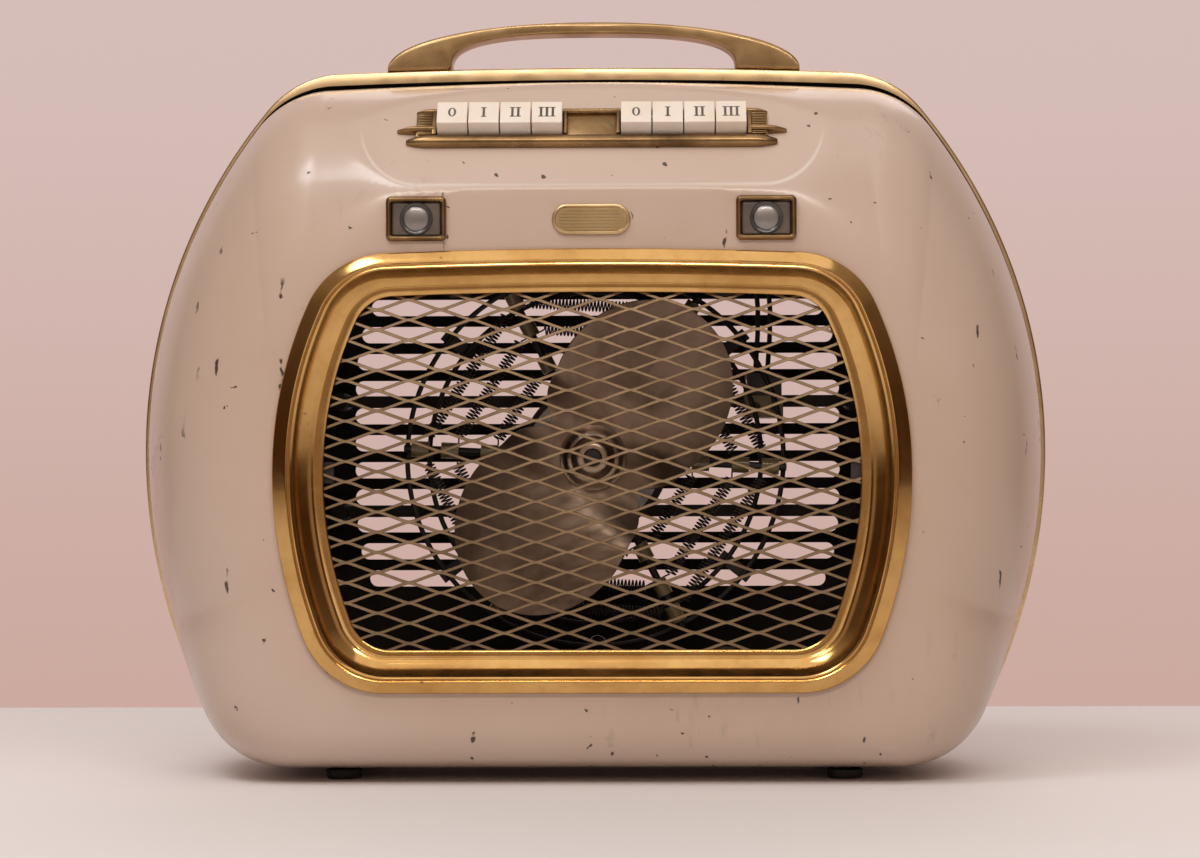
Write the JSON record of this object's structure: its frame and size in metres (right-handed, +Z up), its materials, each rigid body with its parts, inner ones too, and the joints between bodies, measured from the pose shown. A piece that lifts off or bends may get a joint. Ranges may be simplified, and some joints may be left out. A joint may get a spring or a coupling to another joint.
{
  "type": "ceramic space heater",
  "caption": "Portable fan heater with a rounded steel case on rubber feet, arched carry handle, piano-key switches, pilot lamps, expanded-metal outlet and open coil element.",
  "frame": {"origin": "on the table under the middle of the heater's box", "axes": "+Z up, +X towards the heater's left-hand side as seen from behind (to the viewer's right from the front), -Y out of the air outlet"},
  "size_m": [0.3584, 0.151, 0.2977],
  "materials": {
    "enamel": "semi-gloss stoved enamel, pinkish beige",
    "brass_trim": "satin, lacquered",
    "gold_frame": "polished gold lacquer",
    "gold_grille": "gold-coloured expanded steel, satin",
    "antique_brass": "antique brass, satin",
    "brass_badge": "satin",
    "ivory_key": "ivory, semi-gloss",
    "phenolic": "dark moulded phenolic",
    "lens_glass": "clear, moulded",
    "black_rubber": "matt",
    "dark_steel": "oxidised, nearly black",
    "zinc_steel": "zinc plated",
    "nichrome": "oxidised resistance wire",
    "porcelain": "unglazed porcelain",
    "porcelain_olive": "glazed olive-brown porcelain",
    "laminations": "varnished laminations",
    "cast_shield": "as cast",
    "winding_copper": "varnished copper winding",
    "bronze": "oiled sintered bronze",
    "fan_aluminium": "dull, warm grey",
    "lead_sleeve": "varnished sleeving"
  },
  "bodies": {
    "housing": {"front_shell": "enamel", "rear_shell": "enamel", "trim_band": "brass_trim", "base_plate": "dark_steel", "feet": "black_rubber", "foot_screws": "zinc_steel", "handle": "brass_trim", "handle_screws": "zinc_steel", "outlet_frame": "gold_frame", "outlet_grille": "gold_grille", "grille_clips": "zinc_steel", "key_escutcheon": "antique_brass", "switch_bank_left": "phenolic", "switch_bank_right": "phenolic", "switch_bracket": "zinc_steel", "key_springs": "zinc_steel", "lamp_bezel_left": "antique_brass", "lamp_bezel_right": "antique_brass", "lamp_lens_left": "lens_glass", "lamp_lens_right": "lens_glass", "lamp_holder_left": "phenolic", "lamp_holder_right": "phenolic", "lamp_bulb_left": "lens_glass", "lamp_bulb_right": "lens_glass", "badge": "brass_badge", "heater_carrier": "dark_steel", "carrier_posts": "zinc_steel", "case_screws": "zinc_steel", "heater_ring_outer": "dark_steel", "heater_ring_inner": "dark_steel", "ring_rods": "dark_steel", "heater_arms": "dark_steel", "coil_insulators": "porcelain", "heating_coil_1": "nichrome", "heating_coil_2": "nichrome", "heating_coil_3": "nichrome", "motor_stator": "laminations", "motor_windings": "winding_copper", "motor_shield_front": "cast_shield", "motor_shield_rear": "cast_shield", "motor_tie_bolts": "zinc_steel", "motor_bearings": "bronze", "motor_pillars": "zinc_steel", "terminal_block": "porcelain_olive", "thermal_cutout": "phenolic", "lead_wires": "lead_sleeve", "cord_gland": "black_rubber"},
    "rotor": {"motor_rotor": "laminations", "motor_shaft": "zinc_steel", "fan_blades": "fan_aluminium", "fan_boss": "fan_aluminium", "fan_set_screw": "dark_steel"},
    "push_left_0": {"key_left_0": "ivory_key"},
    "push_left_1": {"key_left_1": "ivory_key"},
    "push_left_2": {"key_left_2": "ivory_key"},
    "push_left_3": {"key_left_3": "ivory_key"},
    "push_right_0": {"key_right_0": "ivory_key"},
    "push_right_1": {"key_right_1": "ivory_key"},
    "push_right_2": {"key_right_2": "ivory_key"},
    "push_right_3": {"key_right_3": "ivory_key"}
  },
  "joints": [
    {"name": "fan_spin", "type": "hinge", "parent": "housing", "child": "rotor", "pos_m": [0, 0, 0.124], "axis": [0, -1, 0], "continuous": true},
    {"name": "key_left_0_press", "type": "slide", "parent": "housing", "child": "push_left_0", "axis": [0, 0.7547, -0.6561], "range_m": [0, 0.004], "stiffness_N_per_m": 300, "springref_m": -0.003},
    {"name": "key_left_1_press", "type": "slide", "parent": "housing", "child": "push_left_1", "axis": [0, 0.7547, -0.6561], "range_m": [0, 0.004], "stiffness_N_per_m": 300, "springref_m": -0.003},
    {"name": "key_left_2_press", "type": "slide", "parent": "housing", "child": "push_left_2", "axis": [0, 0.7547, -0.6561], "range_m": [0, 0.004], "stiffness_N_per_m": 300, "springref_m": -0.003},
    {"name": "key_left_3_press", "type": "slide", "parent": "housing", "child": "push_left_3", "axis": [0, 0.7547, -0.6561], "range_m": [0, 0.004], "stiffness_N_per_m": 300, "springref_m": -0.003},
    {"name": "key_right_0_press", "type": "slide", "parent": "housing", "child": "push_right_0", "axis": [0, 0.7547, -0.6561], "range_m": [0, 0.004], "stiffness_N_per_m": 300, "springref_m": -0.003},
    {"name": "key_right_1_press", "type": "slide", "parent": "housing", "child": "push_right_1", "axis": [0, 0.7547, -0.6561], "range_m": [0, 0.004], "stiffness_N_per_m": 300, "springref_m": -0.003},
    {"name": "key_right_2_press", "type": "slide", "parent": "housing", "child": "push_right_2", "axis": [0, 0.7547, -0.6561], "range_m": [0, 0.004], "stiffness_N_per_m": 300, "springref_m": -0.003},
    {"name": "key_right_3_press", "type": "slide", "parent": "housing", "child": "push_right_3", "axis": [0, 0.7547, -0.6561], "range_m": [0, 0.004], "stiffness_N_per_m": 300, "springref_m": -0.003}
  ]
}
